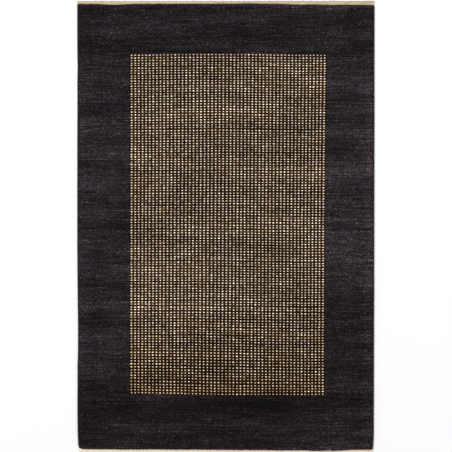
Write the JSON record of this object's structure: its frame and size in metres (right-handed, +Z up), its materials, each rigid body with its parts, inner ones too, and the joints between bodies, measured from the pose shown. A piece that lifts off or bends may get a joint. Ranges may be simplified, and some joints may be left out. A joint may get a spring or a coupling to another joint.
{
  "type": "hand-knotted rug",
  "caption": "Flat rectangular hand-knotted wool rug with overcast side cords, flat-woven cotton end strips and short trimmed warp bundles.",
  "frame": {"origin": "on the floor under the middle of the rug", "axes": "+X to the right of the rug as the picture shows it, +Y along its length towards the head end at the top of the picture, +Z up out of the pile"},
  "size_m": [1.22, 1.855, 0.0103],
  "materials": {
    "charcoal_wool": "short cut wool pile, matt",
    "overcast_wool": "tight wool wrapping, matt",
    "cream_cotton": "plain flat weave, matt"
  },
  "bodies": {
    "root": {"knotted_pile": "charcoal_wool", "side_cord_left": "overcast_wool", "side_cord_right": "overcast_wool", "end_strip_foot": "cream_cotton", "end_strip_head": "cream_cotton"}
  },
  "joints": []
}
